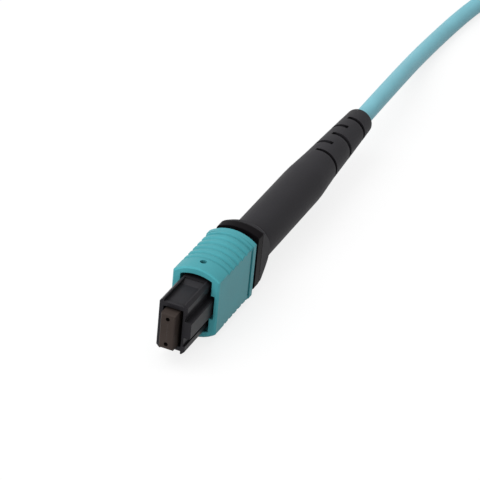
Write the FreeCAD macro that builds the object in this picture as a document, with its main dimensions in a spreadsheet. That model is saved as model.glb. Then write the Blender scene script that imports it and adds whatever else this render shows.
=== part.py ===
"""Twelve-fibre push-pull connector on a pre-terminated cable.

Millimetres. Y runs from the mating face back along the connector, Z is the wide way of the
ferrule and X its thin way. The origin is the middle of the ferrule's end face. The connector
lies on one arched narrow side of its coupling sleeve, with the key towards +X.
"""
import FreeCAD, Part

import math
import os

import Sketcher

Vector = FreeCAD.Vector

SIZES = {
    # ferrule
    "ferruleWidth": 6.4, "ferruleThickness": 2.5, "ferruleLength": 8.0,
    "shoulderWidth": 7.0, "shoulderThickness": 3.0, "shoulderLength": 2.0,
    "guidePitch": 4.6, "guideDiameter": 0.7, "ferruleEdge": 0.15,
    "fibrePitch": 0.25, "fibreDiameter": 0.125, "fibreClearance": 0.01, "fibreHoleLength": 3.0,
    "ribbonWidth": 3.0, "ribbonThickness": 0.3, "ribbonClearance": 0.05,
    "windowWidth": 2.6, "windowLength": 1.8, "windowStart": 3.4,
    "bootTubeWall": 0.3, "bootTubeLength": 6.5, "bootTubeDepth": 3.2,
    # keeper and main spring
    "keeperWidth": 6.8, "keeperThickness": 2.8, "keeperPlate": 1.2, "keeperHub": 1.4,
    "keeperHubWall": 0.42, "keeperHubCrossWall": 0.3,
    "springWire": 0.45, "springRun": 3.2, "springTurns": 5,
    "springFit": 0.15,
    # inner housing
    "noseReach": 1.9, "housingWidth": 9.1, "housingThickness": 4.9, "housingRear": 24.0,
    "noseWindowWidth": 6.6, "noseWindowThickness": 3.4, "cavityWidth": 7.2,
    "cavityThickness": 3.8, "housingEdge": 0.5,
    "channelWidth": 3.4, "channelFloor": 3.85, "channelLip": 4.08, "channelLipLength": 0.6,
    "channelLength": 6.5, "rampLength": 1.2, "rampTop": 4.3,
    "keyWidth": 3.0, "keyHeight": 0.8, "keyLength": 12.0, "keyEdge": 0.15,
    "flankWidth": 1.55, "flankDepth": 0.3, "flankLength": 9.5,
    "springSlotWidth": 1.5, "springSlotFloor": 3.98, "springSlotStart": 13.6,
    "springSlotLength": 8.8, "collarPeak": 4.95, "collarCorner": 4.6,
    "latchWidth": 3.0, "latchStart": 21.0, "latchLength": 1.6, "latchHeight": 0.45,
    # coupling sleeve
    "sleeveFront": 10.05, "sleeveLength": 14.45, "sleeveThickness": 8.2, "sleeveCorner": 4.85,
    "sleevePeak": 6.35, "sleeveEdge": 0.25, "openingThickness": 5.5, "openingCorner": 4.62,
    "openingPeak": 5.2, "keywayWidth": 4.2, "keywayDepth": 0.7,
    "ribSetback": 0.8, "ribDepth": 0.3, "ribStart": 3.7, "ribShoulder": 0.5,
    "ribRelief": 0.03, "rimLength": 1.35, "rimHeight": 0.14,
    "rimGroove": 0.5, "rimGrooveDepth": 0.28, "holeDiameter": 1.1, "holeSetback": 2.45,
    "ledgeWidth": 1.3, "ledgeReach": 4.08, "ledgeLength": 1.1,
    "sleeveSpringRadius": 0.43, "sleeveSpringWire": 0.2, "sleeveSpringTurns": 6,
    # rear body and crimp
    "insertStart": 20.0, "insertClearance": 0.06, "flangeStart": 26.2, "flangeLength": 1.8,
    "flangeThickness": 7.6, "flangeCorner": 4.85, "flangePeak": 5.85, "flangeEdge": 0.6,
    "throatWidth": 4.6, "throatThickness": 1.6, "throatLength": 7.0,
    "postDiameter": 4.4, "postLength": 9.0, "postBore": 3.0, "postGroove": 0.12,
    "postGrooveLength": 0.5, "postGroovePitch": 2.8, "postGrooveStart": 2.4,
    "yarnThickness": 0.3, "yarnClearance": 0.03, "yarnSetback": 1.0,
    "ringWall": 0.32, "ringTail": 4.3,
    # cable
    "cableDiameter": 3.2, "jacketWall": 0.45, "bundleDiameter": 1.5,
    "jacketStart": 39.3, "cableYarnThickness": 0.32,
    # boot
    "bootStart": 28.1, "barrelDiameter": 7.62, "flareCorner": 4.75, "flarePeak": 5.35,
    "flareLip": 0.3, "flareLength": 3.6, "flareEdge": 0.6, "flareReach": 6.1,
    "bootBore": 6.0, "bootBoreLength": 15.2, "cableClearance": 0.12,
    "taperStart": 55.0, "taperLength": 28.0, "bootEndDiameter": 5.1, "bootBend": 0.3, "kneeLength": 2.0,
    "slotWidth": 0.55, "slotPitch": 3.4, "slotStart": 9.9, "slotSkin": 0.3, "slotSweep": 210.0,
    "bootEndEdge": 0.35,
    # put-away hank of cable and its ties
    "hankRun": 48.0, "hankWidth": 19.2, "hankLead": 0.3, "tieWidth": 4.0, "tieThickness": 0.7,
}

RIB_COUNT = 5
FIBRE_COUNT = 12
SLOT_COUNT = 5
HANK_ROWS = 6
POST_GROOVES = 2
SPRING_STEPS = 8

doc = FreeCAD.newDocument("connector")
sheet = doc.addObject("Spreadsheet::Sheet", "Sizes")


class Size:
    """A length with its value and the spreadsheet expression that gives it."""

    def __init__(self, value, text):
        self.value = value
        self.text = text

    def join(self, other, sign, value):
        return Size(value, f"({self.text} {sign} {size(other).text})")

    def __add__(self, other):
        return self.join(other, "+", self.value + size(other).value)

    def __radd__(self, other):
        return size(other) + self

    def __sub__(self, other):
        return self.join(other, "-", self.value - size(other).value)

    def __rsub__(self, other):
        return size(other) - self

    def __mul__(self, other):
        return self.join(other, "*", self.value * size(other).value)

    def __rmul__(self, other):
        return self * other

    def __truediv__(self, other):
        return self.join(other, "/", self.value / size(other).value)

    def __neg__(self):
        return Size(-self.value, f"(0 - {self.text})")


def size(value):
    return value if isinstance(value, Size) else Size(float(value), repr(float(value)))


class Sizes:
    """The driving sizes by name, as the sheet holds them."""

    def __getattr__(self, name):
        return Size(SIZES[name], f"Sizes.{name}")


s = Sizes()


def fill_sheet():
    for row, (name, value) in enumerate(SIZES.items(), start=1):
        sheet.set(f"A{row}", name)
        sheet.set(f"B{row}", str(value))
        sheet.setAlias(f"B{row}", name)
    doc.recompute()


def bind(item, prop, length):
    """Set one property and tie it to the sheet."""
    length = size(length)
    if prop.count(".") == 0:
        setattr(item, prop, length.value)
    item.setExpression(prop, length.text)


# ---- sketches ---------------------------------------------------------------------------------

def plane_of(body, role):
    return next(f for f in body.Origin.OriginFeatures if f.Role == role)


def new_body(name):
    body = doc.addObject("PartDesign::Body", name)
    body.Label = name
    return body


def cross_sketch(body, name, y):
    """A sketch across the connector at y: its first axis is X and its second is Z."""
    sketch = body.newObject("Sketcher::SketchObject", name)
    sketch.AttachmentSupport = [(plane_of(body, "XZ_Plane"), "")]
    sketch.MapMode = "FlatFace"
    bind(sketch, "AttachmentOffset.Base.z", -size(y))
    return sketch


def side_sketch(body, name, x=0):
    """A sketch seen from +X: its first axis is Y and its second is Z."""
    sketch = body.newObject("Sketcher::SketchObject", name)
    sketch.AttachmentSupport = [(plane_of(body, "YZ_Plane"), "")]
    sketch.MapMode = "FlatFace"
    bind(sketch, "AttachmentOffset.Base.z", x)
    return sketch


def pin_point(sketch, edge, end, point):
    """Hold one end of an edge at a point given by two sizes."""
    for kind, value in zip(("DistanceX", "DistanceY"), point):
        value = size(value)
        if abs(value.value) < 1e-9:
            target = {"DistanceX": -2, "DistanceY": -1}[kind]
            sketch.addConstraint(Sketcher.Constraint("PointOnObject", edge, end, target))
            continue
        row = sketch.addConstraint(
            Sketcher.Constraint(kind, -1, 1, edge, end, value.value))
        sketch.setExpression(f"Constraints[{row}]", value.text)


def outline(sketch, corners, bulges=None):
    """A closed outline through its corners, counter-clockwise.

    bulges gives the radius of each side that is an arc, by the number of its first corner:
    positive swells outwards and negative bites in.
    """
    bulges = bulges or {}
    points = [Vector(size(a).value, size(b).value, 0) for a, b in corners]
    first = sketch.GeometryCount
    total = len(points)
    starts = []
    for i, start in enumerate(points):
        end = points[(i + 1) % total]
        radius = bulges.get(i)
        if radius is None:
            sketch.addGeometry(Part.LineSegment(start, end))
            starts.append((1, 2))
            continue
        sketch.addGeometry(swell(start, end, size(radius).value))
        starts.append((1, 2) if size(radius).value > 0 else (2, 1))
    for i in range(total):
        here, after = starts[i], starts[(i + 1) % total]
        sketch.addConstraint(Sketcher.Constraint(
            "Coincident", first + i, here[1], first + (i + 1) % total, after[0]))
    for i, corner in enumerate(corners):
        pin_point(sketch, first + i, starts[i][0], corner)
    for i, radius in bulges.items():
        radius = size(radius) if size(radius).value > 0 else -size(radius)
        row = sketch.addConstraint(Sketcher.Constraint("Radius", first + i, radius.value))
        sketch.setExpression(f"Constraints[{row}]", radius.text)
    return sketch


def swell(start, end, radius):
    """The arc from start to end that swells to the right of the way (or left, if negative)."""
    chord = end - start
    half = chord.Length / 2
    side = 1 if radius > 0 else -1
    radius = abs(radius)
    rise = math.sqrt(max(radius ** 2 - half ** 2, 0.0))
    across = Vector(-chord.y, chord.x, 0).normalize() * side
    centre = (start + end) * 0.5 + across * rise
    first, last = (start, end) if side > 0 else (end, start)
    a = math.atan2(first.y - centre.y, first.x - centre.x)
    b = math.atan2(last.y - centre.y, last.x - centre.x)
    if b <= a:
        b += 2 * math.pi
    return Part.ArcOfCircle(Part.Circle(centre, Vector(0, 0, 1), radius), a, b)


def circle(sketch, radius, centre=(0, 0)):
    radius = size(radius)
    spot = Vector(size(centre[0]).value, size(centre[1]).value, 0)
    edge = sketch.addGeometry(Part.Circle(spot, Vector(0, 0, 1), radius.value))
    row = sketch.addConstraint(Sketcher.Constraint("Radius", edge, radius.value))
    sketch.setExpression(f"Constraints[{row}]", radius.text)
    pin_point(sketch, edge, 3, centre)
    return sketch


def hexagon(radius, height):
    """Corners for what is too fine to be worth a circle's facets."""
    angles = [math.radians(60 * i) for i in range(6)]
    return [(radius * round(math.cos(a), 6), radius * round(math.sin(a), 6) + height)
            for a in angles]


def box_corners(half_x, half_z, mid=(0, 0)):
    cx, cz = mid
    return [(cx - half_x, cz - half_z), (cx + half_x, cz - half_z),
            (cx + half_x, cz + half_z), (cx - half_x, cz + half_z)]


def arch_radius(half, corner, peak):
    """Radius of the arc over a chord of two halves that rises from corner to peak."""
    rise = peak - corner
    return (half * half + rise * rise) / (rise * 2)


def arched(sketch, half, corner, peak):
    """The connector's own outline: flat wide sides and two arched narrow sides."""
    radius = arch_radius(half, corner, peak)
    corners = box_corners(size(half), size(corner))
    return outline(sketch, corners, {0: radius, 2: radius})


# ---- features ---------------------------------------------------------------------------------

def extrude(body, kind, sketch, length, backwards=True, midplane=False):
    """A Pad or Pocket along the connector; backwards means towards +Y."""
    feature = body.newObject(f"PartDesign::{kind}", f"{sketch.Name}{kind}")
    feature.Profile = sketch
    bind(feature, "Length", length)
    if midplane:
        feature.Midplane = True
    else:
        feature.Reversed = backwards if kind == "Pad" else not backwards
    body.Tip = feature
    doc.recompute()
    return feature


def pad(body, sketch, length, **way):
    return extrude(body, "Pad", sketch, length, **way)


def pocket(body, sketch, length, **way):
    before = body.Shape.Volume
    feature = extrude(body, "Pocket", sketch, length, **way)
    if feature.Shape.Volume > before - 1e-6:
        raise ValueError(f"{feature.Name} cuts nothing")
    return feature


def turn(body, kind, sketch, own_axis=None):
    """A turned form about the connector's middle line, or about a sketch's second axis."""
    feature = body.newObject(f"PartDesign::{kind}", f"{sketch.Name}{kind}")
    feature.Profile = sketch
    feature.ReferenceAxis = ((own_axis, ["V_Axis"]) if own_axis
                             else (plane_of(body, "Y_Axis"), [""]))
    feature.Angle = 360
    body.Tip = feature
    doc.recompute()
    return feature


def dress(body, kind, amount, wanted):
    """Fillet or chamfer the edges of the body's tip that the test picks out."""
    base = body.Tip
    names = [f"Edge{i}" for i, edge in enumerate(base.Shape.Edges, start=1) if wanted(edge)]
    if not names:
        raise ValueError(f"{body.Label} has no edge for its {kind}")
    feature = body.newObject(f"PartDesign::{kind}", f"{base.Name}{kind}")
    feature.Base = (base, names)
    bind(feature, "Radius" if kind == "Fillet" else "Size", amount)
    body.Tip = feature
    doc.recompute()
    return feature


def near(a, b, slack=0.02):
    return abs(a - size(b).value) < slack


def lies_at(edge, **planes):
    """True if the whole edge lies in the planes given by x=, y= or z=, on either side of zero."""
    box = edge.BoundBox
    spans = {"x": (box.XMin, box.XMax), "y": (box.YMin, box.YMax), "z": (box.ZMin, box.ZMax)}
    return all(near(spans[axis][0], spans[axis][1]) and near(abs(spans[axis][0]), where)
               for axis, where in planes.items())


# ---- ferrule group ----------------------------------------------------------------------------

def make_ferrule():
    body = new_body("mt_ferrule")
    sketch = outline(cross_sketch(body, "ferruleFace", 0),
                     box_corners(s.ferruleThickness / 2, s.ferruleWidth / 2))
    pad(body, sketch, s.ferruleLength)
    start = s.ferruleLength - s.shoulderLength
    sketch = outline(cross_sketch(body, "ferruleShoulder", start),
                     box_corners(s.shoulderThickness / 2, s.shoulderWidth / 2))
    pad(body, sketch, s.shoulderLength)
    dress(body, "Chamfer", s.ferruleEdge, lambda e: lies_at(e, y=0))
    sketch = cross_sketch(body, "guideHoles", 0)
    for side in (1, -1):
        circle(sketch, s.guideDiameter / 2, (0, s.guidePitch / 2 * side))
    pocket(body, sketch, s.ferruleLength)
    sketch = cross_sketch(body, "fibreHoles", 0)
    for i in range(FIBRE_COUNT):
        outline(sketch, hexagon(s.fibreDiameter / 2 + s.fibreClearance, fibre_height(i)))
    pocket(body, sketch, s.ferruleLength)
    sketch = outline(cross_sketch(body, "ribbonSlot", s.fibreHoleLength),
                     box_corners(s.ribbonThickness / 2 + s.ribbonClearance,
                                 s.ribbonWidth / 2 + s.ribbonClearance))
    pocket(body, sketch, s.ferruleLength)
    depth = s.bootTubeDepth
    sketch = outline(cross_sketch(body, "bootSeat", s.ferruleLength - depth),
                     box_corners(tube_half_x() + s.ribbonClearance,
                                 tube_half_z() + s.ribbonClearance))
    pocket(body, sketch, depth)
    middle = s.windowStart + s.windowLength / 2
    sketch = outline(side_sketch(body, "window"),
                     box_corners(s.windowLength / 2, s.windowWidth / 2, (middle, 0)))
    pocket(body, sketch, s.shoulderThickness, backwards=True)
    return body


def fibre_height(number):
    return s.fibrePitch * (number - (FIBRE_COUNT - 1) / 2)


def tube_half_x():
    return s.ribbonThickness / 2 + s.ribbonClearance + s.bootTubeWall


def tube_half_z():
    return s.ribbonWidth / 2 + s.ribbonClearance + s.bootTubeWall / 2


def make_ferrule_boot():
    body = new_body("ferrule_boot")
    start = s.ferruleLength - s.bootTubeDepth
    sketch = outline(cross_sketch(body, "tubeOuter", start),
                     box_corners(tube_half_x(), tube_half_z()))
    pad(body, sketch, s.bootTubeLength)
    sketch = outline(cross_sketch(body, "tubeInner", start),
                     box_corners(s.ribbonThickness / 2 + s.ribbonClearance / 2,
                                 s.ribbonWidth / 2 + s.ribbonClearance / 2))
    pocket(body, sketch, s.bootTubeLength)
    return body


def hub_half_x():
    return tube_half_x() + s.ribbonClearance * 2 + s.keeperHubWall


def hub_half_z():
    return tube_half_z() + s.ribbonClearance * 2 + s.keeperHubCrossWall


def make_pin_keeper():
    """Plate behind the ferrule; its hub centres the main spring."""
    body = new_body("pin_keeper")
    start = s.ferruleLength
    sketch = outline(cross_sketch(body, "keeperPlate", start),
                     box_corners(s.keeperThickness / 2, s.keeperWidth / 2))
    pad(body, sketch, s.keeperPlate)
    sketch = outline(cross_sketch(body, "keeperHub", start + s.keeperPlate),
                     box_corners(hub_half_x(), hub_half_z()))
    pad(body, sketch, s.keeperHub)
    dress(body, "Fillet", s.keeperHubWall,
          lambda e: lies_at(e, x=hub_half_x(), z=hub_half_z()))
    sketch = outline(cross_sketch(body, "keeperSlot", start),
                     box_corners(tube_half_x() + s.ribbonClearance * 2,
                                 tube_half_z() + s.ribbonClearance * 2))
    pocket(body, sketch, s.keeperPlate + s.keeperHub)
    return body


def make_ribbon():
    """The ribbon from the ferrule to the cable, stripped to twelve bare fibres in front."""
    body = new_body("fibre_ribbon")
    sketch = outline(cross_sketch(body, "ribbonFlat", s.fibreHoleLength),
                     box_corners(s.ribbonThickness / 2, s.ribbonWidth / 2))
    pad(body, sketch, ribbon_end() - s.fibreHoleLength)
    for i in range(FIBRE_COUNT):
        fibre = outline(cross_sketch(body, f"fibre{i}Face", 0),
                        hexagon(s.fibreDiameter / 2, fibre_height(i)))
        pad(body, fibre, s.fibreHoleLength)
    return body


def ribbon_end():
    return s.insertStart + s.throatLength + s.slotWidth


# ---- springs ----------------------------------------------------------------------------------

def spring_shape(radius, run, wire, turns, start, end, side=0.0):
    """A coil along Y between two seats, its wire in short straight runs with six flat sides.

    The coil is round, or longer along Z by a straight run on each flank.
    """
    first, last = start + wire / 2, end - wire / 2
    steps = SPRING_STEPS * turns
    way = []
    for i in range(steps + 1):
        angle = 2 * math.pi * i / SPRING_STEPS + math.pi / SPRING_STEPS
        stretch = math.copysign(run / 2, math.sin(angle))
        way.append(Vector(radius * math.cos(angle), first + (last - first) * i / steps,
                          side + radius * math.sin(angle) + stretch))
    heading = (way[1] - way[0]).normalize()
    outward = Vector(way[0].x, 0, way[0].z - side).normalize()
    corner = outward * (wire / 2)
    rim = [way[0] + FreeCAD.Rotation(heading, 60 * i).multVec(corner) for i in range(6)]
    right_corner = 1
    return Part.makePolygon(way).makePipeShell([Part.makePolygon(rim + rim[:1])], True, False,
                                               right_corner)


def add_shape(name, shape):
    """A piece that no parametric feature makes, from the sheet's sizes."""
    feature = doc.addObject("Part::Feature", name)
    feature.Label = name
    feature.Shape = shape
    return feature


def make_main_spring():
    start = s.ferruleLength + s.keeperPlate
    radius = hub_half_x() + s.springFit + s.springWire / 2
    shape = spring_shape(radius.value, s.springRun.value, s.springWire.value,
                         int(SIZES["springTurns"]), start.value, SIZES["insertStart"])
    return add_shape("main_spring", shape)


def make_sleeve_spring(name, side):
    start = s.springSlotStart + s.ledgeLength
    end = s.springSlotStart + s.springSlotLength
    radius = s.sleeveSpringRadius
    height = s.springSlotFloor + radius + s.sleeveSpringWire / 2 + s.ribbonClearance
    shape = spring_shape(radius.value, 0.0, s.sleeveSpringWire.value,
                         int(SIZES["sleeveSpringTurns"]), start.value, end.value,
                         height.value * side)
    return add_shape(name, shape)


# ---- inner housing ----------------------------------------------------------------------------

def make_housing():
    body = new_body("inner_housing")
    half_x, half_z = s.housingThickness / 2, s.housingWidth / 2
    front = s.noseReach
    length = s.housingRear - front
    pad(body, outline(cross_sketch(body, "noseOutline", front),
                      box_corners(half_x, half_z)), length)
    dress(body, "Chamfer", s.housingEdge, lambda e: lies_at(e, x=half_x, z=half_z))
    collar = s.springSlotStart + s.springSlotLength
    pad(body, arched(cross_sketch(body, "collarOutline", collar), half_x, s.collarCorner,
                     s.collarPeak), s.housingRear - collar)
    key = cross_sketch(body, "keyOutline", front)
    outline(key, box_corners(s.keyHeight / 2 + s.flankDepth, s.keyWidth / 2,
                             (half_x + s.keyHeight / 2 - s.flankDepth, 0)))
    pad(body, key, s.keyLength)
    dress(body, "Chamfer", s.keyEdge,
          lambda e: lies_at(e, x=half_x + s.keyHeight, z=s.keyWidth / 2))
    for side in (1, -1):
        flank = cross_sketch(body, f"flank{'Upper' if side > 0 else 'Lower'}", front)
        outline(flank, box_corners(s.flankDepth, s.flankWidth / 2,
                                   (half_x, (s.keyWidth + s.flankWidth) / 2 * side)))
        pocket(body, flank, s.flankLength)
    for side in (1, -1):
        latch_channel(body, side)
        spring_slot(body, side)
    pocket(body, outline(cross_sketch(body, "noseWindow", front),
                         box_corners(s.noseWindowThickness / 2, s.noseWindowWidth / 2)), length)
    inside = s.ferruleLength - s.shoulderLength
    pocket(body, outline(cross_sketch(body, "springCavity", inside),
                         box_corners(s.cavityThickness / 2, s.cavityWidth / 2)),
           s.housingRear - inside)
    middle = s.latchStart + s.latchLength / 2
    pocket(body, outline(side_sketch(body, "latchWindows"),
                         box_corners(s.latchLength / 2, s.latchWidth / 2, (middle, 0))),
           s.housingThickness * 2, midplane=True)
    return body


def latch_channel(body, side):
    """The recess on a narrow side that the adapter's hook drops into, with its ramp."""
    front = s.noseReach
    lip = front + s.channelLipLength
    back = front + s.channelLength
    top = s.housingWidth
    corners = [(front, s.channelLip), (lip, s.channelLip), (lip, s.channelFloor),
               (back, s.channelFloor), (back + s.rampLength, s.rampTop),
               (back + s.rampLength, top), (front, top)]
    corners = [(y, z * side) for y, z in corners]
    if side < 0:
        corners.reverse()
    sketch = side_sketch(body, f"channel{'Upper' if side > 0 else 'Lower'}")
    pocket(body, outline(sketch, corners), s.channelWidth, midplane=True)


def spring_slot(body, side):
    reach = s.springSlotFloor
    sketch = side_sketch(body, f"springSlot{'Upper' if side > 0 else 'Lower'}")
    middle = (s.springSlotStart + s.springSlotLength / 2, (reach + s.housingWidth / 4) * side)
    outline(sketch, box_corners(s.springSlotLength / 2, s.housingWidth / 4, middle))
    pocket(body, sketch, s.springSlotWidth, midplane=True)


# ---- coupling sleeve --------------------------------------------------------------------------

def make_sleeve():
    body = new_body("coupling_sleeve")
    half_x = s.sleeveThickness / 2
    front, rear = s.sleeveFront, s.sleeveFront + s.sleeveLength
    pad(body, arched(cross_sketch(body, "sleeveOutline", front), half_x, s.sleeveCorner,
                     s.sleevePeak), s.sleeveLength)
    for side in (1, -1):
        rib_valleys(body, side)
    rim = rear - s.rimLength
    pad(body, arched(cross_sketch(body, "rimOutline", rim), half_x + s.rimHeight,
                     s.sleeveCorner, s.sleevePeak), s.rimLength)
    for side in (1, -1):
        groove = side_sketch(body, f"rimGroove{'Key' if side > 0 else 'Plain'}",
                             (half_x - s.rimGrooveDepth) * side)
        outline(groove, box_corners(s.rimGroove / 2, s.sleeveCorner - s.rimGroove,
                                    (rim - s.rimGroove / 2, 0)))
        pocket(body, groove, s.rimGrooveDepth * 2, backwards=side < 0)
    dress(body, "Chamfer", s.sleeveEdge, lambda e: lies_at(e, y=front) or lies_at(e, y=rear))
    opening = arched(cross_sketch(body, "openingOutline", front), s.openingThickness / 2,
                     s.openingCorner, s.openingPeak)
    pocket(body, opening, s.sleeveLength)
    keyway = outline(cross_sketch(body, "keywayOutline", front),
                     box_corners(s.keywayDepth, s.keywayWidth / 2,
                                 (s.openingThickness / 2, 0)))
    pocket(body, keyway, s.sleeveLength)
    for side in (1, -1):
        ledge = side_sketch(body, f"ledge{'Upper' if side > 0 else 'Lower'}")
        deep = (s.openingPeak - s.ledgeReach) / 2 + s.sleeveEdge / 2
        outline(ledge, box_corners(s.ledgeLength / 2, deep,
                                   (s.springSlotStart + s.ledgeLength / 2,
                                    (s.ledgeReach + deep) * side)))
        pad(body, ledge, s.ledgeWidth, midplane=True)
    hole = body.newObject("Sketcher::SketchObject", "sightHoles")
    hole.AttachmentSupport = [(plane_of(body, "XY_Plane"), "")]
    hole.MapMode = "FlatFace"
    circle(hole, s.holeDiameter / 2, (0, front + s.holeSetback))
    pocket(body, hole, s.sleevePeak * 3, midplane=True)
    return body


def rib_valleys(body, side):
    """Cut the valleys between the finger ribs, turned about the arch's own centre."""
    half_x = s.sleeveThickness / 2
    radius = arch_radius(half_x, s.sleeveCorner, s.sleevePeak)
    centre = s.sleevePeak - radius
    first = s.sleeveFront + s.ribStart
    low, top = s.sleevePeak - s.ribDepth, s.sleevePeak + s.ribDepth
    crest = s.sleevePeak - s.ribRelief
    name = "Upper" if side > 0 else "Lower"
    sketch = side_sketch(body, f"ribs{name}")
    pitch = (s.sleeveLength - s.rimLength - s.ribSetback - s.ribStart) / RIB_COUNT
    last = first + pitch * RIB_COUNT
    corners = [(first - s.ribShoulder, top), (first, low)]
    for i in range(RIB_COUNT):
        start = first + pitch * i
        corners += [(start + s.ribShoulder, crest), (start + pitch - s.ribShoulder, crest),
                    (start + pitch, low)]
    corners += [(last + s.ribShoulder, top)]
    corners = [(y, z * side) for y, z in corners]
    if side < 0:
        corners.reverse()
    outline(sketch, corners)
    axis = sketch.addGeometry(Part.LineSegment(
        Vector(first.value, centre.value * side, 0), Vector(last.value, centre.value * side, 0)),
        True)
    pin_point(sketch, axis, 1, (first, centre * side))
    pin_point(sketch, axis, 2, (last, centre * side))
    before = body.Shape.Volume
    feature = body.newObject("PartDesign::Groove", f"ribs{name}Groove")
    feature.Profile = sketch
    feature.ReferenceAxis = (sketch, ["Axis0"])
    feature.Angle = 360
    body.Tip = feature
    doc.recompute()
    if feature.Shape.Volume > before - 1e-6:
        raise ValueError("the rib valleys cut nothing")


# ---- rear body and crimp ----------------------------------------------------------------------

def make_rear_body():
    """The piece that closes the housing: spring seat, flange and crimp post in one moulding."""
    body = new_body("rear_body")
    start = s.insertStart
    insert_x = s.cavityThickness / 2 - s.insertClearance
    insert_z = s.cavityWidth / 2 - s.insertClearance
    pad(body, outline(cross_sketch(body, "insertOutline", start),
                      box_corners(insert_x, insert_z)), s.housingRear - start)
    pad(body, outline(cross_sketch(body, "neckOutline", s.housingRear),
                      box_corners(s.housingThickness / 2, s.housingWidth / 2)),
        s.flangeStart - s.housingRear)
    pad(body, arched(cross_sketch(body, "flangeOutline", s.flangeStart),
                     s.flangeThickness / 2, s.flangeCorner, s.flangePeak), s.flangeLength)
    dress(body, "Fillet", s.flangeEdge,
          lambda e: lies_at(e, x=s.flangeThickness / 2, z=s.flangeCorner))
    behind = s.flangeStart + s.flangeLength
    pad(body, circle(cross_sketch(body, "postOutline", behind), s.postDiameter / 2),
        s.postLength)
    for i in range(POST_GROOVES):
        y = behind + s.postGrooveStart + s.postGroovePitch * i
        ring = side_sketch(body, f"postGroove{i}")
        outline(ring, box_corners(s.postGrooveLength / 2, s.postGroove,
                                  (y, s.postDiameter / 2)))
        turn(body, "Groove", ring)
    pocket(body, circle(cross_sketch(body, "postBore", start), s.postBore / 2),
           behind + s.postLength - start)
    pocket(body, outline(cross_sketch(body, "throat", start),
                         box_corners(s.throatThickness / 2, s.throatWidth / 2)),
           s.throatLength)
    for side in (1, -1):
        latch = body.newObject("Sketcher::SketchObject", f"latch{'Key' if side > 0 else 'Plain'}")
        latch.AttachmentSupport = [(plane_of(body, "XY_Plane"), "")]
        latch.MapMode = "FlatFace"
        tip = (insert_x + s.latchHeight) * side
        root = (insert_x - s.latchHeight) * side
        front = s.latchStart + s.insertClearance
        back = s.latchStart + s.latchLength - s.insertClearance
        corners = [(root, front), (insert_x * side, front), (tip, back), (root, back)]
        if side < 0:
            corners.reverse()
        pad(body, outline(latch, corners), s.latchWidth - s.insertClearance * 2,
            midplane=True)
    return body


def yarn_inner():
    return s.postDiameter / 2 + s.yarnClearance


def ring_inner():
    return yarn_inner() + s.yarnThickness + s.yarnClearance


def make_yarn():
    """Strength yarn: folded over the post in front, then inside the jacket."""
    body = new_body("aramid_yarn")
    behind = s.flangeStart + s.flangeLength
    first = behind + s.yarnSetback
    post_end = behind + s.postLength
    outer, inner = yarn_inner() + s.yarnThickness, yarn_inner()
    core = core_radius() - s.yarnClearance
    thin = core - s.cableYarnThickness
    fold = post_end + s.yarnClearance
    flat = fold + s.yarnThickness
    corners = [(first, inner), (fold, inner), (fold, thin), (flat, thin), (flat, outer),
               (first, outer)]
    turn(body, "Revolution", outline(side_sketch(body, "yarnProfile"), corners))
    cable_run(body, "AdditiveLoft", "yarn", core, flat)
    cable_run(body, "SubtractiveLoft", "yarnCore", thin, fold)
    return body


def make_crimp_ring():
    body = new_body("crimp_ring")
    behind = s.flangeStart + s.flangeLength
    first = behind + s.yarnSetback
    step = behind + s.postLength + s.yarnThickness + s.yarnClearance * 2
    wall = s.ringWall
    end = step + wall + s.ringTail
    big, small = ring_inner(), s.cableDiameter / 2 + s.yarnClearance
    corners = [(first, big), (step, big), (step, small), (end, small), (end, small + wall),
               (step + wall, small + wall), (step + wall, big + wall), (first, big + wall)]
    turn(body, "Revolution", outline(side_sketch(body, "ringProfile"), corners))
    return body


# ---- cable and boot ---------------------------------------------------------------------------

def lean_angle():
    """The flexible end of the boot, and the cable in it, lean this much towards -X."""
    slope = s.bootBend / s.taperLength
    return Size(math.degrees(math.atan(slope.value)), f"atan({slope.text})")


def lean_along(share):
    """Distance along the leaning axis to a share of the taper's length."""
    angle = lean_angle()
    straight = s.taperLength * share
    return Size(straight.value / math.cos(math.radians(angle.value)),
                f"({straight.text} / cos({angle.text}))")


def station_sketch(body, name, share):
    """A sketch square to the cable, at a share of the taper's length from its start.

    It stands straight for a share below 0, leans above it, and splits the corner at 0.
    """
    share = size(share)
    y = s.taperStart + s.taperLength * share
    if share.value < 0:
        return cross_sketch(body, name, y)
    sketch = body.newObject("Sketcher::SketchObject", name)
    sketch.AttachmentSupport = [(plane_of(body, "XZ_Plane"), "")]
    sketch.MapMode = "FlatFace"
    aside, angle = s.bootBend * share, lean_angle()
    if share.value == 0:
        angle = angle / 2
    sketch.AttachmentOffset = FreeCAD.Placement(
        Vector(-aside.value, 0, -y.value), FreeCAD.Rotation(Vector(0, 1, 0), angle.value))
    bind(sketch, "AttachmentOffset.Base.x", -aside)
    bind(sketch, "AttachmentOffset.Base.z", -y)
    bind(sketch, "AttachmentOffset.Rotation.Angle", angle)
    return sketch


def lean_profile(body, name):
    """A sketch whose second axis is the leaning one, from where the taper starts."""
    sketch = body.newObject("Sketcher::SketchObject", name)
    sketch.AttachmentSupport = [(plane_of(body, "XY_Plane"), "")]
    sketch.MapMode = "FlatFace"
    angle = lean_angle()
    sketch.AttachmentOffset = FreeCAD.Placement(
        Vector(0, s.taperStart.value, 0), FreeCAD.Rotation(Vector(0, 0, 1), angle.value))
    bind(sketch, "AttachmentOffset.Base.y", s.taperStart)
    bind(sketch, "AttachmentOffset.Rotation.Angle", angle)
    return sketch


def knee():
    """Half the share of the taper in which the axis turns from straight to leaning."""
    return s.kneeLength / (s.taperLength * 2)


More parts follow.
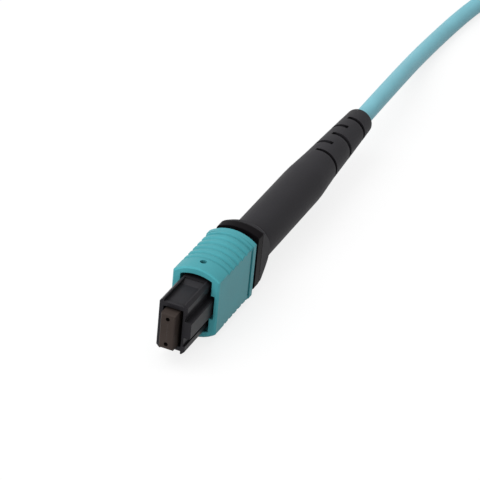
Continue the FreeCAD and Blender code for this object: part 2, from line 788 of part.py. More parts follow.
def knee_loft(body, kind, name, rounds):
    """A round form through circles along the cable, given as pairs of share and radius."""
    sketches = [circle(station_sketch(body, f"{name}Stop{i}", share), radius)
                for i, (share, radius) in enumerate(rounds)]
    before = body.Shape.Volume if body.Tip else 0.0
    feature = body.newObject(f"PartDesign::{kind}", f"{name}Loft")
    feature.Profile = sketches[0]
    feature.Sections = sketches[1:]
    feature.Ruled = True
    body.Tip = feature
    doc.recompute()
    if (feature.Shape.Volume > before) != (kind == "AdditiveLoft"):
        raise ValueError(f"{feature.Name} went the wrong way")
    return feature


def cable_run(body, kind, name, radius, first):
    """A plain round run from the distance given to the end of the boot."""
    start = (first - s.taperStart) / s.taperLength
    return knee_loft(body, kind, name, [(share, radius) for share in (start, 0, 1)])


def core_radius():
    return s.cableDiameter / 2 - s.jacketWall


def make_jacket():
    """The cable's jacket inside the boot."""
    body = new_body("cable_jacket")
    cable_run(body, "AdditiveLoft", "jacket", s.cableDiameter / 2, s.jacketStart)
    cable_run(body, "SubtractiveLoft", "jacketCore", core_radius(), s.jacketStart)
    return body


def make_bundle():
    """The twelve coloured fibres in their tube, from the ribbon to the end of the boot."""
    body = new_body("fibre_bundle")
    cable_run(body, "AdditiveLoft", "bundle", s.bundleDiameter / 2, ribbon_end())
    return body


def make_boot():
    body = new_body("boot")
    barrel = s.barrelDiameter / 2
    start = s.bootStart
    end = s.bootEndDiameter / 2
    pad(body, circle(cross_sketch(body, "barrelFace", start), barrel),
        s.taperStart - s.kneeLength / 2 - start)
    pad(body, arched(cross_sketch(body, "flareOutline", start), barrel, s.flareCorner,
                     s.flarePeak), s.flareLength)
    dress(body, "Fillet", s.flareEdge, lambda e: lies_at(e, x=barrel, z=s.flareCorner))
    neck = barrel - (barrel - end) * knee()
    knee_loft(body, "AdditiveLoft", "bootKnee", [(-knee(), barrel), (knee(), neck)])
    foot, tip = lean_along(knee()), lean_along(1)
    edge = s.bootEndEdge
    taper = lean_profile(body, "bootTaper")
    turn(body, "Revolution", outline(taper, [
        (0, foot), (neck, foot), (end, tip - edge), (end - edge, tip), (0, tip)]), taper)
    slope = side_sketch(body, "flareSlope")
    lip, meet, out = start + s.flareLip, start + s.flareLength, s.flareReach * 1.5
    turn(body, "Groove", outline(slope, [
        (lip, s.flareReach), (meet, barrel), (meet, out), (lip, out)]))
    bore = s.bootBore / 2
    thin = s.cableDiameter / 2 + s.cableClearance
    deep = start + s.bootBoreLength
    turned = s.taperStart - s.kneeLength / 2
    turn(body, "Groove", outline(side_sketch(body, "boreProfile"), [
        (start - 1, 0), (turned, 0), (turned, thin), (deep, thin), (deep, bore),
        (start - 1, bore)]))
    knee_loft(body, "SubtractiveLoft", "boreKnee", [(-knee(), thin), (knee(), thin)])
    pipe = lean_profile(body, "borePipe")
    turn(body, "Groove", outline(pipe, [
        (0, foot), (thin, foot), (thin, tip + edge), (0, tip + edge)]), pipe)
    for i in range(SLOT_COUNT):
        boot_slot(body, i)
    return body


def boot_slot(body, number):
    """One flex slot: part of a ring, cut from alternate sides and stopped short of the bore."""
    share = (s.slotStart + s.slotPitch * number) / s.taperLength
    sketch = station_sketch(body, f"slot{number}", share)
    inner = s.cableDiameter / 2 + s.cableClearance + s.slotSkin
    facing = 0 if number % 2 == 0 else 180
    ring_sector(sketch, s.barrelDiameter / 2, inner, facing, s.slotSweep)
    pocket(body, sketch, s.slotWidth, midplane=True)


def ring_sector(sketch, outer, inner, facing, sweep):
    """Part of a ring about the sketch's middle, open towards the facing angle."""
    low = math.radians(facing - sweep.value / 2)
    high = math.radians(facing + sweep.value / 2)
    middle, up = Vector(0, 0, 0), Vector(0, 0, 1)
    for radius in (outer, inner):
        round_edge = Part.Circle(middle, up, radius.value)
        sketch.addGeometry(Part.ArcOfCircle(round_edge, low, high))
    for angle in (low, high):
        ray = Vector(math.cos(angle), math.sin(angle), 0)
        sketch.addGeometry(Part.LineSegment(ray * inner.value, ray * outer.value))
    joins = ((0, 1, 2, 2), (1, 1, 2, 1), (0, 2, 3, 2), (1, 2, 3, 1))
    for join in joins:
        sketch.addConstraint(Sketcher.Constraint("Coincident", *join))
    for edge, radius in enumerate((outer, inner)):
        sketch.addConstraint(Sketcher.Constraint("Coincident", edge, 3, -1, 1))
        row = sketch.addConstraint(Sketcher.Constraint("Radius", edge, radius.value))
        sketch.setExpression(f"Constraints[{row}]", radius.text)
        for end, angle in ((1, low), (2, high)):
            height = radius * math.sin(angle)
            row = sketch.addConstraint(
                Sketcher.Constraint("DistanceY", -1, 1, edge, end, height.value))
            sketch.setExpression(f"Constraints[{row}]", height.text)


# ---- free cable -------------------------------------------------------------------------------

# The cable's way from the end of the boot, first on along the boot's lean and then down to
# the surface and out to its hank, as steps from the middle of the boot's end.
BOOT_END = Vector(-SIZES["bootBend"], SIZES["taperStart"] + SIZES["taperLength"], 0)
FREE_RUN = 15.0
FLOOR = -SIZES["sleevePeak"] + SIZES["cableDiameter"] / 2
CABLE_ROUTE = [BOOT_END + Vector(*step) for step in [
    (0.0, 0.0, 0.0),
    (-FREE_RUN * SIZES["bootBend"] / SIZES["taperLength"], FREE_RUN, 0.0),
    (-2.95, 43.0, FLOOR),
    (-1.45, 69.0, FLOOR),
    (2.3, 84.5, FLOOR),
    (2.3, 95.5, FLOOR),
]]


def rounded_path(points):
    """Straight runs joined by tangent arcs, as large as their runs allow; prints the radii."""
    edges = []
    last = points[0]
    radii = []
    for before, here, after in zip(points, points[1:], points[2:]):
        back, on = (before - here), (after - here)
        reach = 0.45 * min(back.Length, on.Length)
        turned = math.pi - back.getAngle(on)
        radii.append(reach / math.tan(turned / 2))
        back, on = back.normalize(), on.normalize()
        start, end = here + back * reach, here + on * reach
        inward = (back + on).normalize()
        centre = here + inward * (radii[-1] / math.cos(turned / 2))
        middle = centre - inward * radii[-1]
        edges.append(Part.LineSegment(last, start).toShape())
        edges.append(Part.Arc(start, middle, end).toShape())
        last = end
    edges.append(Part.LineSegment(last, points[-1]).toShape())
    print("cable radii:", [round(r, 1) for r in radii])
    return edges


def sweep_round(edge, radius):
    """The round rod or piece of a ring about one edge of a path."""
    start, heading = edge.firstVertex().Point, edge.tangentAt(edge.FirstParameter)
    if edge.Curve.TypeId == "Part::GeomLine":
        return Part.makeCylinder(radius, edge.Length, start, heading)
    disc = Part.Face(Part.Wire(Part.makeCircle(radius, start, heading)))
    ring = edge.Curve
    return disc.revolve(ring.Center, ring.Axis, math.degrees(edge.Length / ring.Radius))


def make_cable():
    edges = rounded_path(CABLE_ROUTE)
    rods = [sweep_round(edge, SIZES["cableDiameter"] / 2) for edge in edges]
    shape = rods[0].fuse(rods[1:])
    length = sum(edge.Length for edge in edges)
    plain = math.pi * (SIZES["cableDiameter"] / 2) ** 2 * length
    print(f"cable tube: length {length:.1f}, volume {shape.Volume:.1f} of {plain:.1f}")
    return add_shape("cable", shape.Solids[0])


class Hank:
    """Where the folded cable lies: it goes on along Y from the cable's end and folds to -X."""

    wire = SIZES["cableDiameter"]
    fold = SIZES["hankWidth"] / 2
    base = -SIZES["sleevePeak"]
    height = HANK_ROWS * wire + SIZES["tieThickness"]
    outer, inner = fold + wire / 2, fold - wire / 2
    lead = math.sqrt(outer ** 2 - inner ** 2) + SIZES["hankLead"]
    near = CABLE_ROUTE[-1] + Vector(-fold, lead, base - CABLE_ROUTE[-1].z)

    @classmethod
    def oval(cls, radius):
        """An upright solid with two straight sides and a round at each end."""
        shape = Part.makeBox(2 * radius, SIZES["hankRun"], cls.height,
                             cls.near - Vector(radius, 0, 0))
        far = cls.near + Vector(0, SIZES["hankRun"], 0)
        ends = [Part.makeCylinder(radius, cls.height, end) for end in (cls.near, far)]
        return shape.fuse(ends).removeSplitter()

    @classmethod
    def slab(cls, side, margin):
        """A slab across the runs on one side, as wide as they are and a margin more."""
        width = SIZES["tieWidth"]
        corner = cls.near + Vector(side * cls.fold - cls.wire / 2 - margin,
                                   (SIZES["hankRun"] - width) / 2,
                                   SIZES["tieThickness"] - margin)
        return Part.makeBox(cls.wire + 2 * margin, width, HANK_ROWS * cls.wire + 2 * margin,
                            corner)


def tie_shape(side):
    thickness = SIZES["tieThickness"]
    around = Hank.slab(side, thickness)
    along = [edge for edge in around.Edges if abs(edge.tangentAt(0).y) > 0.5]
    return around.makeChamfer(thickness, along).cut(Hank.slab(side, 0))


def make_tie(name, side):
    return add_shape(name, tie_shape(side).Solids[0])


def make_hank():
    """The outer form of the put-away hank, with the lead that the cable meets."""
    lead = Part.makeCylinder(Hank.wire / 2, Hank.lead, CABLE_ROUTE[-1], Vector(0, 1, 0))
    shape = Hank.oval(Hank.outer).cut(Hank.oval(Hank.inner)).fuse(lead)
    shape = shape.cut([tie_shape(side) for side in (1, -1)])
    print(f"hank: near fold about {Hank.near.x:.2f}, {Hank.near.y:.2f}, solids {len(shape.Solids)}")
    return add_shape("cable_hank", shape.Solids[0])


# ---- build ------------------------------------------------------------------------------------

def check(piece):
    for item in doc.Objects:
        if "Invalid" in item.State or "Error" in item.State:
            raise ValueError(f"{item.Name} failed: {item.State}")
    shape = piece.Shape
    if shape.isNull() or not shape.isValid() or not shape.Solids:
        raise ValueError(f"{piece.Label} is not a sound solid")


def main():
    fill_sheet()
    pieces = [
        make_ferrule(), make_ribbon(), make_ferrule_boot(), make_pin_keeper(),
        make_main_spring(), make_housing(), make_sleeve(),
        make_sleeve_spring("sleeve_spring_upper", 1),
        make_sleeve_spring("sleeve_spring_lower", -1),
        make_rear_body(), make_yarn(), make_crimp_ring(), make_boot(), make_jacket(),
        make_bundle(), make_cable(), make_hank(),
        make_tie("hank_tie_right", 1), make_tie("hank_tie_left", -1),
    ]
    doc.recompute()
    os.makedirs("parts", exist_ok=True)
    for piece in pieces:
        check(piece)
        piece.Shape.exportStep(os.path.join("parts", f"{piece.Label}.step"))
        box = piece.Shape.BoundBox
        print(f"{piece.Label:22s} solids {len(piece.Shape.Solids)} volume {piece.Shape.Volume:9.2f}"
              f" x {box.XMin:.2f}..{box.XMax:.2f} y {box.YMin:.2f}..{box.YMax:.2f}"
              f" z {box.ZMin:.2f}..{box.ZMax:.2f}")


main()
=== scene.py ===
import math

import bmesh
import bpy
from mathutils import Matrix, Vector


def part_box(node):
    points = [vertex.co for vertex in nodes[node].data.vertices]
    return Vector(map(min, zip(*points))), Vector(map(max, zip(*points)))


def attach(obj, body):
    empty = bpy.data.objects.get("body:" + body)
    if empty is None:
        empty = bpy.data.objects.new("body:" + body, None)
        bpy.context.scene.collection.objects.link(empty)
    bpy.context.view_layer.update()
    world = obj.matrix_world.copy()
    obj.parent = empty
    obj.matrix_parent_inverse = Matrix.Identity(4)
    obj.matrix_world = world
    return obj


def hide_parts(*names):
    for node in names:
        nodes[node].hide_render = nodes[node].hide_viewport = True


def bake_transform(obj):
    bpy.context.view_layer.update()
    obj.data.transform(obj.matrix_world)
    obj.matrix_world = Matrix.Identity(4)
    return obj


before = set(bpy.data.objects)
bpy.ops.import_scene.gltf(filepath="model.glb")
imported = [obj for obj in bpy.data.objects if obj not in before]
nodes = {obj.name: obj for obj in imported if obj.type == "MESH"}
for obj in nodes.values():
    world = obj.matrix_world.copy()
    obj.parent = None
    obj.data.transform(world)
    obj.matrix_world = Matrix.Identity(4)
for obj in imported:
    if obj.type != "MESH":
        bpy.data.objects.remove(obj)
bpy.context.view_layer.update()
mm = 0.001
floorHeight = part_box("coupling_sleeve")[0].z

# The camera stands in front of the key side and looks down along the connector.
cameraSettings = {"azimuth": 21.2, "elevation": 30.6, "roll": 5.65, "distance": 392.9 * mm,
                  "aside": 11.417 * mm, "above": 14.33 * mm, "lens": 189.19, "near": 0.01,
                  "far": 10}


def addObject(name, data):
    made = bpy.data.objects.new(name, data)
    bpy.context.scene.collection.objects.link(made)
    return made


def makeCamera(settings):
    turn, lift, roll = (math.radians(settings[k]) for k in ("azimuth", "elevation", "roll"))
    back = Vector((math.sin(turn) * math.cos(lift), -math.cos(turn) * math.cos(lift),
                   math.sin(lift)))
    level = Vector((math.cos(turn), math.sin(turn), 0))
    upright = back.cross(level)
    right = level * math.cos(roll) + upright * math.sin(roll)
    up = upright * math.cos(roll) - level * math.sin(roll)
    camera = addObject("camera", bpy.data.cameras.new("camera"))
    camera.matrix_world = Matrix.Translation(
        right * settings["aside"] + up * settings["above"] + back * settings["distance"]
    ) @ Matrix((right, up, back)).transposed().to_4x4()
    camera.data.lens = settings["lens"]
    camera.data.clip_start, camera.data.clip_end = settings["near"], settings["far"]
    bpy.context.scene.camera = camera


makeCamera(cameraSettings)

# The cable leaves the boot, sinks to the surface and ends in its put-away hank. Each row
# climbs to the next in its near fold, by these shares of one row.
cord = {"diameter": 3.2 * mm, "length": 1.0, "rows": 6, "run": 48.0 * mm, "fold": 9.6 * mm,
        "clear": 0.3 * mm, "foldPoints": 5, "climb": (0.08, 0.32, 0.62, 0.88, 1.0),
        "tieThickness": 0.7 * mm, "tieReach": 5.0 * mm, "tail": 12.0 * mm, "smoothness": 8}
cordFloor = floorHeight + cord["diameter"] / 2
cordExit = Vector((-0.3 * mm, 83.0 * mm, 0))
cordRoute = [cordExit + Vector(step) for step in [
    (0, 0, 0),
    (-0.161 * mm, 15.0 * mm, 0),
    (-2.95 * mm, 43.0 * mm, cordFloor),
    (-1.45 * mm, 69.0 * mm, cordFloor),
    (2.3 * mm, 84.5 * mm, cordFloor),
    (2.3 * mm, 95.5 * mm, cordFloor),
]]


# Runs to and fro with round folds between, each row on the one below and over its tie.
def hankPoints(settings, end):
    wire, fold = settings["diameter"], settings["fold"]
    lead = math.sqrt((fold + wire / 2) ** 2 - (fold - wire / 2) ** 2) + settings["clear"]
    near = end + Vector((-fold, lead, 0))
    step = math.pi / settings["foldPoints"]
    beside = fold * math.tan(step / 2)
    middle, far = settings["run"] / 2, settings["run"]
    points = []

    def passBy(across, along, height):
        points.append(near + Vector((across, along, height)))

    def foldAt(along, turned, height, climb):
        for i in range(settings["foldPoints"]):
            angle = (i + 0.5) * step
            reach = fold / math.cos(step / 2)
            passBy(math.cos(angle) * reach * turned, along + math.sin(angle) * reach * turned,
                   height + climb[i] * wire)

    for row in range(settings["rows"]):
        low = row * wire
        over = low + settings["tieThickness"]
        last = row == settings["rows"] - 1
        for along, height in ((beside, low), (middle - settings["tieReach"], over),
                              (middle + settings["tieReach"], over), (far - beside, low)):
            passBy(fold, along, height)
        foldAt(far, 1, low, [0] * settings["foldPoints"])
        tail = settings["tail"] if last else beside
        slope = settings["tieThickness"] / (middle - settings["tieReach"] - beside)
        for along, height in ((far - beside, low), (middle + settings["tieReach"], over),
                              (middle - settings["tieReach"], over),
                              (tail, low + (tail - beside) * slope)):
            passBy(-fold, along, height)
        if not last:
            foldAt(0, -1, low, settings["climb"])
    return points


def makeCord(settings):
    curve = bpy.data.curves.new("cable_run", "CURVE")
    curve.dimensions = "3D"
    points = cordRoute + hankPoints(settings, cordRoute[-1])
    spline = curve.splines.new("NURBS")
    spline.points.add(len(points) - 1)
    for point, spot in zip(spline.points, points):
        point.co = (*spot, 1)
        point.radius = settings["diameter"] / 2
    spline.order_u = 3
    spline.use_endpoint_u = True
    spline.resolution_u = settings["smoothness"]
    curve.bevel_depth = 1.0  # times each point's radius
    curve.bevel_resolution = settings["smoothness"]
    curve.use_fill_caps = True
    run = addObject("cable_run", curve)
    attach(run, "housing")
    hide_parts("cable", "cable_hank")
    return run


cableRun = makeCord(cord)
print("camera and cable made")


# Sockets with Python's own operators, so that shader maths reads as it would on paper.
class Socket:
    def __init__(self, paint, socket):
        self.paint, self.socket = paint, socket

    def join(self, operation, first, second):
        return self.paint.node("ShaderNodeMath", {"operation": operation},
                               {0: first, 1: second})

    def __add__(self, other):
        return self.join("ADD", self, other)

    def __sub__(self, other):
        return self.join("SUBTRACT", self, other)

    def __mul__(self, other):
        return self.join("MULTIPLY", self, other)

    def __truediv__(self, other):
        return self.join("DIVIDE", self, other)

    def __radd__(self, other):
        return self.join("ADD", other, self)

    def __rsub__(self, other):
        return self.join("SUBTRACT", other, self)

    def __rmul__(self, other):
        return self.join("MULTIPLY", other, self)

    def clamp(self, low=0.0, high=1.0):
        return self.join("MINIMUM", self.join("MAXIMUM", self, low), high)

    def largest(self, other):
        return self.join("MAXIMUM", self, other)


class Paint:
    def __init__(self, tree):
        self.tree = tree
        tree.nodes.clear()

    # One node by its type, its settings and what its sockets are given.
    def node(self, kind, settings=None, sockets=None, pick=0):
        made = self.tree.nodes.new(kind)
        for name, value in (settings or {}).items():
            setattr(made, name, value)
        for name, value in (sockets or {}).items():
            if isinstance(value, Socket):
                self.tree.links.new(value.socket, made.inputs[name])
            else:
                made.inputs[name].default_value = value
        return None if pick is None else Socket(self, made.outputs[pick])

    def place(self):
        return self.node("ShaderNodeTexCoord", pick="Object")

    def along(self, axis):
        return self.node("ShaderNodeSeparateXYZ", {}, {0: self.place()}, pick=axis)

    def noise(self, scale, detail=3.0, stretch=(1, 1, 1)):
        spread = self.node("ShaderNodeVectorMath", {"operation": "MULTIPLY"},
                           {0: self.place(), 1: stretch})
        return self.node("ShaderNodeTexNoise", {}, {
            "Vector": spread, "Scale": scale, "Detail": detail})

    def mix(self, share, first, second):
        return self.node("ShaderNodeMix", {"data_type": "RGBA"},
                         {"Factor": share, 6: first, 7: second}, pick=2)

    def bump(self, height, strength, distance):
        return self.node("ShaderNodeBump", {}, {
            "Height": height, "Strength": strength, "Distance": distance})

    def surface(self, sockets):
        shader = self.node("ShaderNodeBsdfPrincipled", {}, sockets, pick="BSDF")
        self.node("ShaderNodeOutputMaterial", {}, {"Surface": shader}, pick=None)


def newPaint(name):
    material = bpy.data.materials.new(name)
    material.use_nodes = True
    return material, Paint(material.node_tree)


def colour(tone, depth=1.0):
    return (*[part * depth for part in tone], 1)


# Both work about the middle of a noise: one raises its contrast, one makes it an offset.
def spread(noise, contrast):
    return (noise * contrast - (contrast - 1) / 2).clamp()


def sway(noise, reach):
    return (noise - 0.5) * reach


# Moulded and extruded plastics. The tone falls to its deep share in soft clouds. In narrow
# places it falls to its crevice share, which is painted shade from an occlusion mask, and it
# falls more steeply where the shade steepness is larger.
plastics = {
    "sleeve_plastic": {"tone": (0.060, 0.300, 0.338), "deep": 0.86, "creviceShadeShare": 0.55,
                       "shadeSteep": 1.2, "rough": 0.40, "shine": 0.10, "grain": 1900,
                       "grainDepth": 0.012 * mm},
    "housing_plastic": {"tone": (0.022, 0.021, 0.024), "deep": 0.70, "creviceShadeShare": 0.3,
                        "shadeSteep": 1.5, "rough": 0.34, "shine": 0.06, "grain": 1500,
                        "grainDepth": 0.010 * mm},
    "rear_body_plastic": {"tone": (0.008, 0.007, 0.008), "deep": 0.70, "creviceShadeShare": 0.3,
                          "shadeSteep": 1.5, "rough": 0.22, "shine": 0.01, "grain": 900,
                          "grainDepth": 0.006 * mm},
    # The boot's slots get the strongest painted shade.
    "boot_elastomer": {"tone": (0.024, 0.023, 0.026), "deep": 0.80, "creviceShadeShare": 0.12,
                       "shadeSteep": 3.0, "rough": 0.55, "shine": 0.07, "grain": 2800,
                       "grainDepth": 0.020 * mm},
    "ferrule_resin": {"tone": (0.042, 0.032, 0.028), "deep": 0.72, "creviceShadeShare": 0.25,
                      "shadeSteep": 2.0, "rough": 0.42, "shine": 0.05, "grain": 3200,
                      "grainDepth": 0.008 * mm},
    "ferrule_rubber": {"tone": (0.024, 0.024, 0.026), "deep": 0.75, "creviceShadeShare": 0.4,
                       "shadeSteep": 1.5, "rough": 0.62, "shine": 0.2, "grain": 2400,
                       "grainDepth": 0.014 * mm},
    "keeper_plastic": {"tone": (0.040, 0.040, 0.045), "deep": 0.75, "creviceShadeShare": 0.4,
                       "shadeSteep": 1.5, "rough": 0.45, "shine": 0.2, "grain": 2000,
                       "grainDepth": 0.010 * mm},
    "cable_jacket": {"tone": (0.185, 0.445, 0.520), "deep": 0.90, "creviceShadeShare": 0.55,
                     "shadeSteep": 1.2, "rough": 0.44, "shine": 0.12, "grain": 1300,
                     "grainDepth": 0.010 * mm},
    "fibre_tube": {"tone": (0.55, 0.60, 0.62), "deep": 0.85, "creviceShadeShare": 0.6, "shadeSteep": 1.0,
                   "rough": 0.30, "shine": 0.50, "grain": 1500, "grainDepth": 0.008 * mm},
}
# The crevice reach and samples set the occlusion mask for the painted shade.
mottleAndCreviceShade = {"cloud": 180, "fine": 2600, "detail": 2, "contrast": 1.6, "cloudSway": 0.12,
          "fineSway": 0.08, "creviceShadeReach": 0.9 * mm, "creviceShadeSamples": 8}


def plastic(name, look):
    material, paint = newPaint(name)
    shadeOpenness = paint.node("ShaderNodeAmbientOcclusion", {"samples": mottleAndCreviceShade["creviceShadeSamples"]},
                          {"Distance": mottleAndCreviceShade["creviceShadeReach"]}, pick="AO")
    cloud, fine, grain = (paint.noise(scale, detail=mottleAndCreviceShade["detail"])
                          for scale in (mottleAndCreviceShade["cloud"], mottleAndCreviceShade["fine"], look["grain"]))
    tone = paint.mix(spread(cloud, mottleAndCreviceShade["contrast"]), colour(look["tone"], look["deep"]),
                     colour(look["tone"]))
    # Painted shade: the tone darkens in crevices, slots and between parts, where the occlusion
    # mask finds shelter.
    tone = paint.mix((1 - (1 - shadeOpenness) * look["shadeSteep"]).clamp(),
                     colour(look["tone"], look["creviceShadeShare"]), tone)
    rough = look["rough"] + sway(cloud, mottleAndCreviceShade["cloudSway"]) + sway(fine, mottleAndCreviceShade["fineSway"])
    paint.surface({"Base Color": tone, "Roughness": rough.clamp(),
                   "Specular IOR Level": look["shine"],
                   "Normal": paint.bump(grain, 1.0, look["grainDepth"])})
    return material


# Clear-coated fibres, dark where their ends lie flush in the ferrule's face. The dark part
# reaches further in than the ferrule slides.
ribbonLook = {"tone": (0.55, 0.66, 0.70), "deep": 0.8, "end": (0.034, 0.027, 0.024),
              "flush": 1.35 * mm, "fade": 0.10 * mm, "streaks": 3000, "detail": 2,
              "stretch": (1, 0.05, 1), "rough": 0.22, "roughSway": 0.1}


def ribbonPaint(look):
    material, paint = newPaint("ribbon_coating")
    streak = paint.noise(look["streaks"], look["detail"], look["stretch"])
    coat = paint.mix(streak, colour(look["tone"], look["deep"]), colour(look["tone"]))
    behind = ((paint.along("Y") - look["flush"]) / look["fade"]).clamp()
    paint.surface({"Base Color": paint.mix(behind, colour(look["end"]), coat),
                   "Roughness": look["rough"] + streak * look["roughSway"]})
    return material


metals = {
    "spring_steel": {"tone": (0.62, 0.62, 0.64), "rough": 0.20, "stretch": (1, 1, 1)},
    "crimp_metal": {"tone": (0.70, 0.71, 0.72), "rough": 0.26, "stretch": (1, 0.05, 1)},
}
drawnMarks = {"scale": 1200, "detail": 3, "contrast": 1.4, "deep": 0.8, "roughSway": 0.15,
              "strength": 0.3, "depth": 0.01 * mm}


def metal(name, look):
    material, paint = newPaint(name)
    drawn = paint.noise(drawnMarks["scale"], drawnMarks["detail"], look["stretch"])
    tone = paint.mix(spread(drawn, drawnMarks["contrast"]),
                     colour(look["tone"], drawnMarks["deep"]), colour(look["tone"]))
    paint.surface({"Base Color": tone, "Metallic": 1.0,
                   "Roughness": look["rough"] + drawn * drawnMarks["roughSway"],
                   "Normal": paint.bump(drawn, drawnMarks["strength"], drawnMarks["depth"])})
    return material


yarnLook = {"tone": (0.78, 0.58, 0.18), "deep": 0.5, "strands": 2400, "detail": 4,
            "stretch": (1, 0.04, 1), "rough": 0.45, "roughSway": 0.3, "strength": 0.8,
            "depth": 0.06 * mm}


def yarnPaint(look):
    material, paint = newPaint("aramid")
    strands = paint.noise(look["strands"], look["detail"], look["stretch"])
    tone = paint.mix(strands, colour(look["tone"], look["deep"]), colour(look["tone"]))
    paint.surface({"Base Color": tone, "Roughness": look["rough"] + strands * look["roughSway"],
                   "Normal": paint.bump(strands, look["strength"], look["depth"])})
    return material


# Woven strap: fine picks across the band and ends along it, with a little fuzz.
strapLook = {"tone": (0.030, 0.030, 0.033), "deep": 0.45, "pick": 0.45 * mm, "fuzz": 5200,
             "detail": 3, "fuzzTone": 0.3, "fuzzHeight": 0.4, "rough": 0.7, "roughSway": 0.2,
             "strength": 0.8, "depth": 0.08 * mm}


def strapPaint(look):
    material, paint = newPaint("tie_webbing")
    turn = 2 * math.pi / look["pick"]
    across, along, upward = (
        paint.node("ShaderNodeMath", {"operation": "SINE"}, {0: paint.along(axis) * turn})
        for axis in "XYZ")
    weave = (across * along + along * upward) * 0.5 + 0.5
    fuzz = paint.noise(look["fuzz"], look["detail"])
    share = (weave * (1 - look["fuzzTone"]) + fuzz * look["fuzzTone"]).clamp()
    tone = paint.mix(share, colour(look["tone"], look["deep"]), colour(look["tone"]))
    height = weave + fuzz * look["fuzzHeight"]
    paint.surface({"Base Color": tone, "Roughness": look["rough"] + fuzz * look["roughSway"],
                   "Normal": paint.bump(height, look["strength"], look["depth"])})
    return material


paints = {name: plastic(name, look) for name, look in plastics.items()}
paints.update({name: metal(name, look) for name, look in metals.items()})
paints["ribbon_coating"] = ribbonPaint(ribbonLook)
paints["aramid"] = yarnPaint(yarnLook)
paints["tie_webbing"] = strapPaint(strapLook)
print("materials made")

# Moulded pieces are made again with their edges rounded. Edges under the shortest length,
# and those along the crisp step, aren't; edges that only end at the step have their own limit.
tieLook = {"body": "housing", "slot": "tie_webbing", "radius": 0.25 * mm, "segments": 3,
           "smooth": 24, "edge": 28}
moulded = {
    "coupling_sleeve": {"name": "sleeve_shell", "body": "sleeve", "slot": "sleeve_plastic",
                        "radius": 0.10 * mm, "segments": 2, "smooth": 20, "edge": 50,
                        "crispAt": 23.15 * mm},
    "inner_housing": {"name": "housing_shell", "body": "housing", "slot": "housing_plastic",
                      "radius": 0.06 * mm, "segments": 2, "smooth": 10, "edge": 12},
    "rear_body": {"name": "rear_shell", "body": "housing", "slot": "rear_body_plastic",
                  "radius": 0.12 * mm, "segments": 2, "smooth": 24, "edge": 28},
    "hank_tie_right": {"name": "tie_band_right", **tieLook},
    "hank_tie_left": {"name": "tie_band_left", **tieLook},
}
mergeReach, flatAngle = 0.0005 * mm, math.radians(0.6)
shortestEdge, stepEdge, crispReach = 0.30 * mm, 0.7 * mm, 0.3 * mm


def isRounded(edge, look):
    crisp = ["crispAt" in look and abs(end.co.y - look["crispAt"]) < crispReach
             for end in edge.verts]
    shortest = stepEdge if any(crisp) else shortestEdge
    return (edge.calc_face_angle(0) > math.radians(look["edge"]) and not all(crisp)
            and edge.calc_length() > shortest)


def cleanMesh(node, look):
    mesh = nodes[node].data.copy()
    mesh.name = look["name"]
    work = bmesh.new()
    work.from_mesh(mesh)
    bmesh.ops.remove_doubles(work, verts=work.verts, dist=mergeReach)
    if "radius" in look:
        bmesh.ops.dissolve_limit(work, angle_limit=flatAngle, verts=work.verts,
                                 edges=work.edges)
        weight = work.edges.layers.float.new("bevel_weight_edge")
        for edge in work.edges:
            edge[weight] = float(isRounded(edge, look))
    work.to_mesh(mesh)
    work.free()
    mesh.attributes.remove(mesh.attributes["custom_normal"])
    mesh.materials.clear()
    mesh.materials.append(paints[look["slot"]])
    mesh.shade_smooth()
    mesh.set_sharp_from_angle(angle=math.radians(look["smooth"]))
    return mesh


def makePiece(node, look, mesh):
    piece = addObject(look["name"], mesh)
    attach(piece, look["body"])
    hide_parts(node)
    return piece


def roundEdges(piece, look):
    edges = piece.modifiers.new("edges", "BEVEL")
    edges.width = look["radius"]
    edges.segments = look["segments"]
    edges.limit_method = "WEIGHT"
    edges.use_clamp_overlap = False
    edges.harden_normals = True


for node, look in moulded.items():
    roundEdges(makePiece(node, look, cleanMesh(node, look)), look)

# The boot's flex slots gape more than its solid's do. The stations are places along the solid,
# in mm, and the places that they move to, so that the slots lie further forward.
boot = {"name": "boot_shell", "body": "housing", "slot": "boot_elastomer", "smooth": 30,
        "slots": 5, "firstSlot": 64.93 * mm, "slotPitch": 3.39 * mm, "wallFrom": 0.18 * mm,
        "wallTo": 0.40 * mm, "gape": 0.15 * mm,
        "stations": [(0.0, 0.0), (55.0, 55.0), (64.93, 62.30), (71.71, 70.00),
                     (78.49, 77.50), (84.0, 83.2)]}


def openSlots(mesh, look):
    for vertex in mesh.vertices:
        for i in range(look["slots"]):
            aside = vertex.co.y - look["firstSlot"] - i * look["slotPitch"]
            if look["wallFrom"] < abs(aside) < look["wallTo"]:
                vertex.co.y += math.copysign(look["gape"], aside)
        old = vertex.co.y / mm
        for (low, newLow), (high, newHigh) in zip(look["stations"], look["stations"][1:]):
            if low <= old <= high:
                share = (old - low) / (high - low)
                vertex.co.y = (newLow + share * (newHigh - newLow)) * mm
                break


bootMesh = cleanMesh("boot", boot)
openSlots(bootMesh, boot)
makePiece("boot", boot, bootMesh)

# The cut end shows the yarn inside the jacket and a little of the loose tube.
cutEnd = {
    "cut_yarn": {"slot": "aramid", "radius": 1.10 * mm, "proud": 0.12 * mm},
    "cut_tube": {"slot": "fibre_tube", "radius": 0.65 * mm, "proud": 1.0 * mm},
}
sunk, cutSteps, cutSmooth = 1.5 * mm, 24, 40


def makeCutEnd(name, look, points):
    along = (points[-1] - points[-2]).normalized()
    depth = sunk + look["proud"]
    middle = points[-1] + along * (look["proud"] - sunk) / 2
    mesh = bpy.data.meshes.new(name)
    work = bmesh.new()
    turned = along.to_track_quat("Z", "Y").to_matrix().to_4x4()
    bmesh.ops.create_cone(work, cap_ends=True, segments=cutSteps, radius1=look["radius"],
                          radius2=look["radius"], depth=depth,
                          matrix=Matrix.Translation(middle) @ turned)
    work.to_mesh(mesh)
    work.free()
    mesh.materials.append(paints[look["slot"]])
    mesh.shade_smooth()
    mesh.set_sharp_from_angle(angle=math.radians(cutSmooth))
    piece = addObject(name, mesh)
    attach(piece, "housing")


for name, look in cutEnd.items():
    makeCutEnd(name, look, hankPoints(cord, cordRoute[-1]))
print("moulded pieces made")
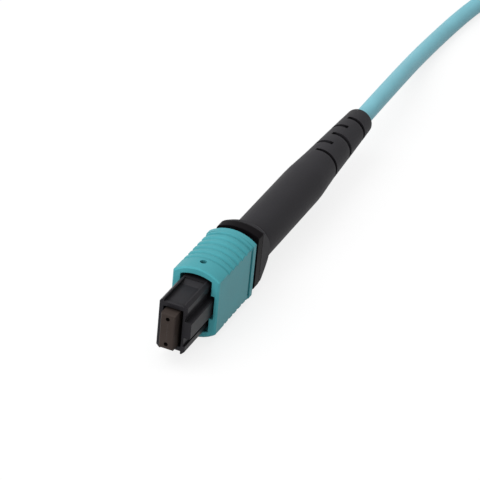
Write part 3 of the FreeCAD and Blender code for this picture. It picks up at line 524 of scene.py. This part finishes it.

# The springs and the bare fibres are made again from their solids.
sleeveCoil = {"slot": "spring_steel", "smooth": 40, "between": ("sleeve", "housing"),
              "from": 14.8 * mm, "to": 22.3 * mm}
yielding = {
    "main_spring": {"name": "main_coil", "slot": "spring_steel", "smooth": 40,
                    "between": ("ferrule", "housing"), "from": 9.3 * mm, "to": 19.9 * mm},
    "sleeve_spring_upper": {"name": "upper_coil", **sleeveCoil},
    "sleeve_spring_lower": {"name": "lower_coil", **sleeveCoil},
    "fibre_ribbon": {"name": "bare_fibres", "slot": "ribbon_coating", "smooth": 40,
                     "between": ("ferrule", "housing"), "from": 11.5 * mm, "to": 27.0 * mm},
}


def makeYielding(node, look):
    piece = addObject(look["name"], cleanMesh(node, look))
    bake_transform(piece)
    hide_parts(node)


for node, look in yielding.items():
    makeYielding(node, look)

# The others are shown as they are.
plain = {
    "mt_ferrule": "ferrule_resin", "ferrule_boot": "ferrule_rubber",
    "pin_keeper": "keeper_plastic", "aramid_yarn": "aramid", "crimp_ring": "crimp_metal",
    "cable_jacket": "cable_jacket", "fibre_bundle": "fibre_tube",
}
for node, paint in plain.items():
    nodes[node].data.materials.clear()
    nodes[node].data.materials.append(paints[paint])
cableRun.data.materials.append(paints["cable_jacket"])
print("plain pieces painted")

# A floor and a world that are white in sight and in reflections, and plain to the rest.
stageLook = {"reach": 3.0, "lit": 0.9, "glow": 0.80, "bounce": 0.55, "worldLight": 0.42}


def seenDirectly(paint):
    rays = [paint.node("ShaderNodeLightPath", pick=ray)
            for ray in ("Is Camera Ray", "Is Glossy Ray", "Is Transmission Ray")]
    return rays[0].largest(rays[1]).largest(rays[2])


def makeFloor(look):
    material, paint = newPaint("floor")
    matt = paint.node("ShaderNodeBsdfDiffuse", {}, {"Color": colour((look["bounce"],) * 3)})
    lit = paint.node("ShaderNodeBsdfDiffuse", {}, {"Color": colour((look["lit"],) * 3)})
    glow = paint.node("ShaderNodeEmission", {}, {"Strength": 1.0})
    shown = paint.node("ShaderNodeMixShader", {}, {0: look["glow"], 1: lit, 2: glow})
    floorShader = paint.node("ShaderNodeMixShader", {},
                             {0: seenDirectly(paint), 1: matt, 2: shown})
    paint.node("ShaderNodeOutputMaterial", {}, {"Surface": floorShader}, pick=None)
    mesh = bpy.data.meshes.new("floor")
    reach = look["reach"]
    mesh.from_pydata([(-reach, -reach, floorHeight), (reach, -reach, floorHeight),
                      (reach, reach, floorHeight), (-reach, reach, floorHeight)], [],
                     [(0, 1, 2, 3)])
    mesh.materials.append(material)
    addObject("floor", mesh)


def makeWorld(look):
    world = bpy.data.worlds.new("studio")
    world.use_nodes = True
    paint = Paint(world.node_tree)
    strength = look["worldLight"] + seenDirectly(paint) * (1 - look["worldLight"])
    background = paint.node("ShaderNodeBackground", {},
                            {"Color": colour((1, 1, 1)), "Strength": strength})
    paint.node("ShaderNodeOutputWorld", {}, {"Surface": background}, pick=None)
    bpy.context.scene.world = world


# Three wide soft lamps: over the left, from above and behind, and from the front.
lamps = {
    "key": {"place": (-0.34, -0.10, 0.52), "size": 0.55, "power": 2.7},
    "top": {"place": (0.05, 0.25, 0.60), "size": 0.50, "power": 1.2},
    "front": {"place": (-0.02, -0.62, 0.22), "size": 0.50, "power": 3.0},
}


lampTarget = Vector((0, 0.05, 0))


def makeLamps(settings):
    for name, lamp in settings.items():
        light = bpy.data.lights.new(name, "AREA")
        light.shape = "SQUARE"
        light.size = lamp["size"]
        light.energy = lamp["power"]
        held = addObject(name, light)
        held.location = lamp["place"]
        held.rotation_mode = "QUATERNION"
        aim = lampTarget - held.location
        held.rotation_quaternion = aim.to_track_quat("-Z", "Y")


makeFloor(stageLook)
makeWorld(stageLook)
makeLamps(lamps)
bpy.context.scene.view_settings.view_transform = "Standard"
print("stage and lights made")
